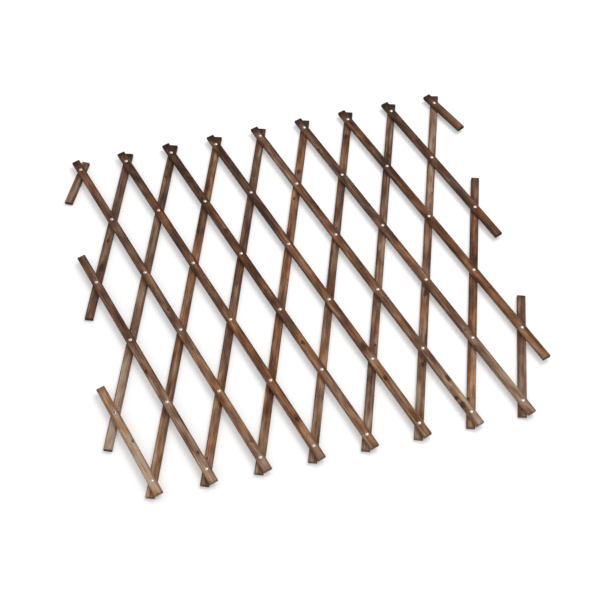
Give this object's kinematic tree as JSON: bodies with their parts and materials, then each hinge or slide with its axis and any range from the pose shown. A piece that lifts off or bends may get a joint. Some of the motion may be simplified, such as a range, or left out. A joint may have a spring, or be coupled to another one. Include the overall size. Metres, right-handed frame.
{
  "type": "expanding plant trellis",
  "caption": "Expanding wooden trellis panel: two crossed layers of brown slats riveted at every crossing, folding like a scissor lattice to carry climbing plants.",
  "frame": {"origin": "centre of the panel's outline on the plane of its back face, which lies on the floor", "axes": "+X across the panel to the right as seen from the front, +Y up the panel as it hangs, +Z out of its front face, where the rivet heads are"},
  "size_m": [0.9356, 0.8604, 0.0179],
  "materials": {
    "stained_wood": "sawn softwood, dark brown stain with streaks and knots",
    "rivet_metal": "bright, domed"
  },
  "bodies": {
    "back_01": {"back_slat_01": "stained_wood"},
    "back_02": {"back_slat_02": "stained_wood"},
    "back_03": {"back_slat_03": "stained_wood"},
    "back_04": {"back_slat_04": "stained_wood"},
    "back_05": {"back_slat_05": "stained_wood"},
    "back_06": {"back_slat_06": "stained_wood"},
    "back_07": {"back_slat_07": "stained_wood"},
    "back_08": {"back_slat_08": "stained_wood"},
    "back_09": {"back_slat_09": "stained_wood"},
    "back_10": {"back_slat_10": "stained_wood"},
    "back_11": {"back_slat_11": "stained_wood"},
    "front_01": {"front_slat_01": "stained_wood", "rivets_01": "rivet_metal"},
    "front_02": {"front_slat_02": "stained_wood", "rivets_02": "rivet_metal"},
    "front_03": {"front_slat_03": "stained_wood", "rivets_03": "rivet_metal"},
    "front_04": {"front_slat_04": "stained_wood", "rivets_04": "rivet_metal"},
    "front_05": {"front_slat_05": "stained_wood", "rivets_05": "rivet_metal"},
    "front_06": {"front_slat_06": "stained_wood", "rivets_06": "rivet_metal"},
    "front_07": {"front_slat_07": "stained_wood", "rivets_07": "rivet_metal"},
    "front_08": {"front_slat_08": "stained_wood", "rivets_08": "rivet_metal"},
    "front_09": {"front_slat_09": "stained_wood", "rivets_09": "rivet_metal"},
    "front_10": {"front_slat_10": "stained_wood", "rivets_10": "rivet_metal"},
    "front_11": {"front_slat_11": "stained_wood", "rivets_11": "rivet_metal"}
  },
  "joints": [
    {"name": "fold", "type": "hinge", "parent": "back_06", "child": "front_06", "pos_m": [0, 0.07977, 0.00815], "axis": [0, 0, 1], "range_deg": [-28.8, 135.8]},
    {"name": "pivot_front_03", "type": "hinge", "parent": "back_06", "child": "front_03", "pos_m": [-0.15784, -0.39887, 0.00815], "axis": [0, 0, 1], "range_deg": [-28.8, 135.8]},
    {"name": "pivot_front_04", "type": "hinge", "parent": "back_06", "child": "front_04", "pos_m": [-0.10522, -0.23932, 0.00815], "axis": [0, 0, 1], "range_deg": [-28.8, 135.8]},
    {"name": "pivot_front_05", "type": "hinge", "parent": "back_06", "child": "front_05", "pos_m": [-0.05261, -0.07977, 0.00815], "axis": [0, 0, 1], "range_deg": [-28.8, 135.8]},
    {"name": "pivot_front_07", "type": "hinge", "parent": "back_06", "child": "front_07", "pos_m": [0.05261, 0.23932, 0.00815], "axis": [0, 0, 1], "range_deg": [-28.8, 135.8]},
    {"name": "pivot_front_08", "type": "hinge", "parent": "back_06", "child": "front_08", "pos_m": [0.10522, 0.39887, 0.00815], "axis": [0, 0, 1], "range_deg": [-28.8, 135.8]},
    {"name": "pivot_back_01", "type": "hinge", "parent": "front_03", "child": "back_01", "pos_m": [-0.42089, 0.39887, 0.00815], "axis": [0, 0, 1], "range_deg": [-135.8, 28.8]},
    {"name": "pivot_back_02", "type": "hinge", "parent": "front_03", "child": "back_02", "pos_m": [-0.36828, 0.23932, 0.00815], "axis": [0, 0, 1], "range_deg": [-135.8, 28.8]},
    {"name": "pivot_back_03", "type": "hinge", "parent": "front_04", "child": "back_03", "pos_m": [-0.26306, 0.23932, 0.00815], "axis": [0, 0, 1], "range_deg": [-135.8, 28.8]},
    {"name": "pivot_back_04", "type": "hinge", "parent": "front_04", "child": "back_04", "pos_m": [-0.21045, 0.07977, 0.00815], "axis": [0, 0, 1], "range_deg": [-135.8, 28.8]},
    {"name": "pivot_back_05", "type": "hinge", "parent": "front_05", "child": "back_05", "pos_m": [-0.10522, 0.07977, 0.00815], "axis": [0, 0, 1], "range_deg": [-135.8, 28.8]},
    {"name": "pivot_back_07", "type": "hinge", "parent": "front_07", "child": "back_07", "pos_m": [0.10522, 0.07977, 0.00815], "axis": [0, 0, 1], "range_deg": [-135.8, 28.8]},
    {"name": "pivot_back_08", "type": "hinge", "parent": "front_08", "child": "back_08", "pos_m": [0.21045, 0.07977, 0.00815], "axis": [0, 0, 1], "range_deg": [-135.8, 28.8]},
    {"name": "pivot_back_09", "type": "hinge", "parent": "front_08", "child": "back_09", "pos_m": [0.26306, -0.07977, 0.00815], "axis": [0, 0, 1], "range_deg": [-135.8, 28.8]},
    {"name": "pivot_back_10", "type": "hinge", "parent": "front_08", "child": "back_10", "pos_m": [0.31567, -0.23932, 0.00815], "axis": [0, 0, 1], "range_deg": [-135.8, 28.8]},
    {"name": "pivot_back_11", "type": "hinge", "parent": "front_08", "child": "back_11", "pos_m": [0.36828, -0.39887, 0.00815], "axis": [0, 0, 1], "range_deg": [-135.8, 28.8]},
    {"name": "pivot_front_01", "type": "hinge", "parent": "back_03", "child": "front_01", "pos_m": [-0.42089, -0.23932, 0.00815], "axis": [0, 0, 1], "range_deg": [-28.8, 135.8]},
    {"name": "pivot_front_02", "type": "hinge", "parent": "back_03", "child": "front_02", "pos_m": [-0.36828, -0.07977, 0.00815], "axis": [0, 0, 1], "range_deg": [-28.8, 135.8]},
    {"name": "pivot_front_09", "type": "hinge", "parent": "back_08", "child": "front_09", "pos_m": [0.26306, 0.23932, 0.00815], "axis": [0, 0, 1], "range_deg": [-28.8, 135.8]},
    {"name": "pivot_front_10", "type": "hinge", "parent": "back_09", "child": "front_10", "pos_m": [0.36828, 0.23932, 0.00815], "axis": [0, 0, 1], "range_deg": [-28.8, 135.8]},
    {"name": "pivot_front_11", "type": "hinge", "parent": "back_09", "child": "front_11", "pos_m": [0.42089, 0.39887, 0.00815], "axis": [0, 0, 1], "range_deg": [-28.8, 135.8]}
  ],
  "couplings": [
    {"joint": "pivot_front_03", "follows": "fold", "ratio": 1},
    {"joint": "pivot_front_04", "follows": "fold", "ratio": 1},
    {"joint": "pivot_front_05", "follows": "fold", "ratio": 1},
    {"joint": "pivot_front_07", "follows": "fold", "ratio": 1},
    {"joint": "pivot_front_08", "follows": "fold", "ratio": 1},
    {"joint": "pivot_back_01", "follows": "fold", "ratio": -1},
    {"joint": "pivot_back_02", "follows": "fold", "ratio": -1},
    {"joint": "pivot_back_03", "follows": "fold", "ratio": -1},
    {"joint": "pivot_back_04", "follows": "fold", "ratio": -1},
    {"joint": "pivot_back_05", "follows": "fold", "ratio": -1},
    {"joint": "pivot_back_07", "follows": "fold", "ratio": -1},
    {"joint": "pivot_back_08", "follows": "fold", "ratio": -1},
    {"joint": "pivot_back_09", "follows": "fold", "ratio": -1},
    {"joint": "pivot_back_10", "follows": "fold", "ratio": -1},
    {"joint": "pivot_back_11", "follows": "fold", "ratio": -1},
    {"joint": "pivot_front_01", "follows": "fold", "ratio": 1},
    {"joint": "pivot_front_02", "follows": "fold", "ratio": 1},
    {"joint": "pivot_front_09", "follows": "fold", "ratio": 1},
    {"joint": "pivot_front_10", "follows": "fold", "ratio": 1},
    {"joint": "pivot_front_11", "follows": "fold", "ratio": 1}
  ]
}
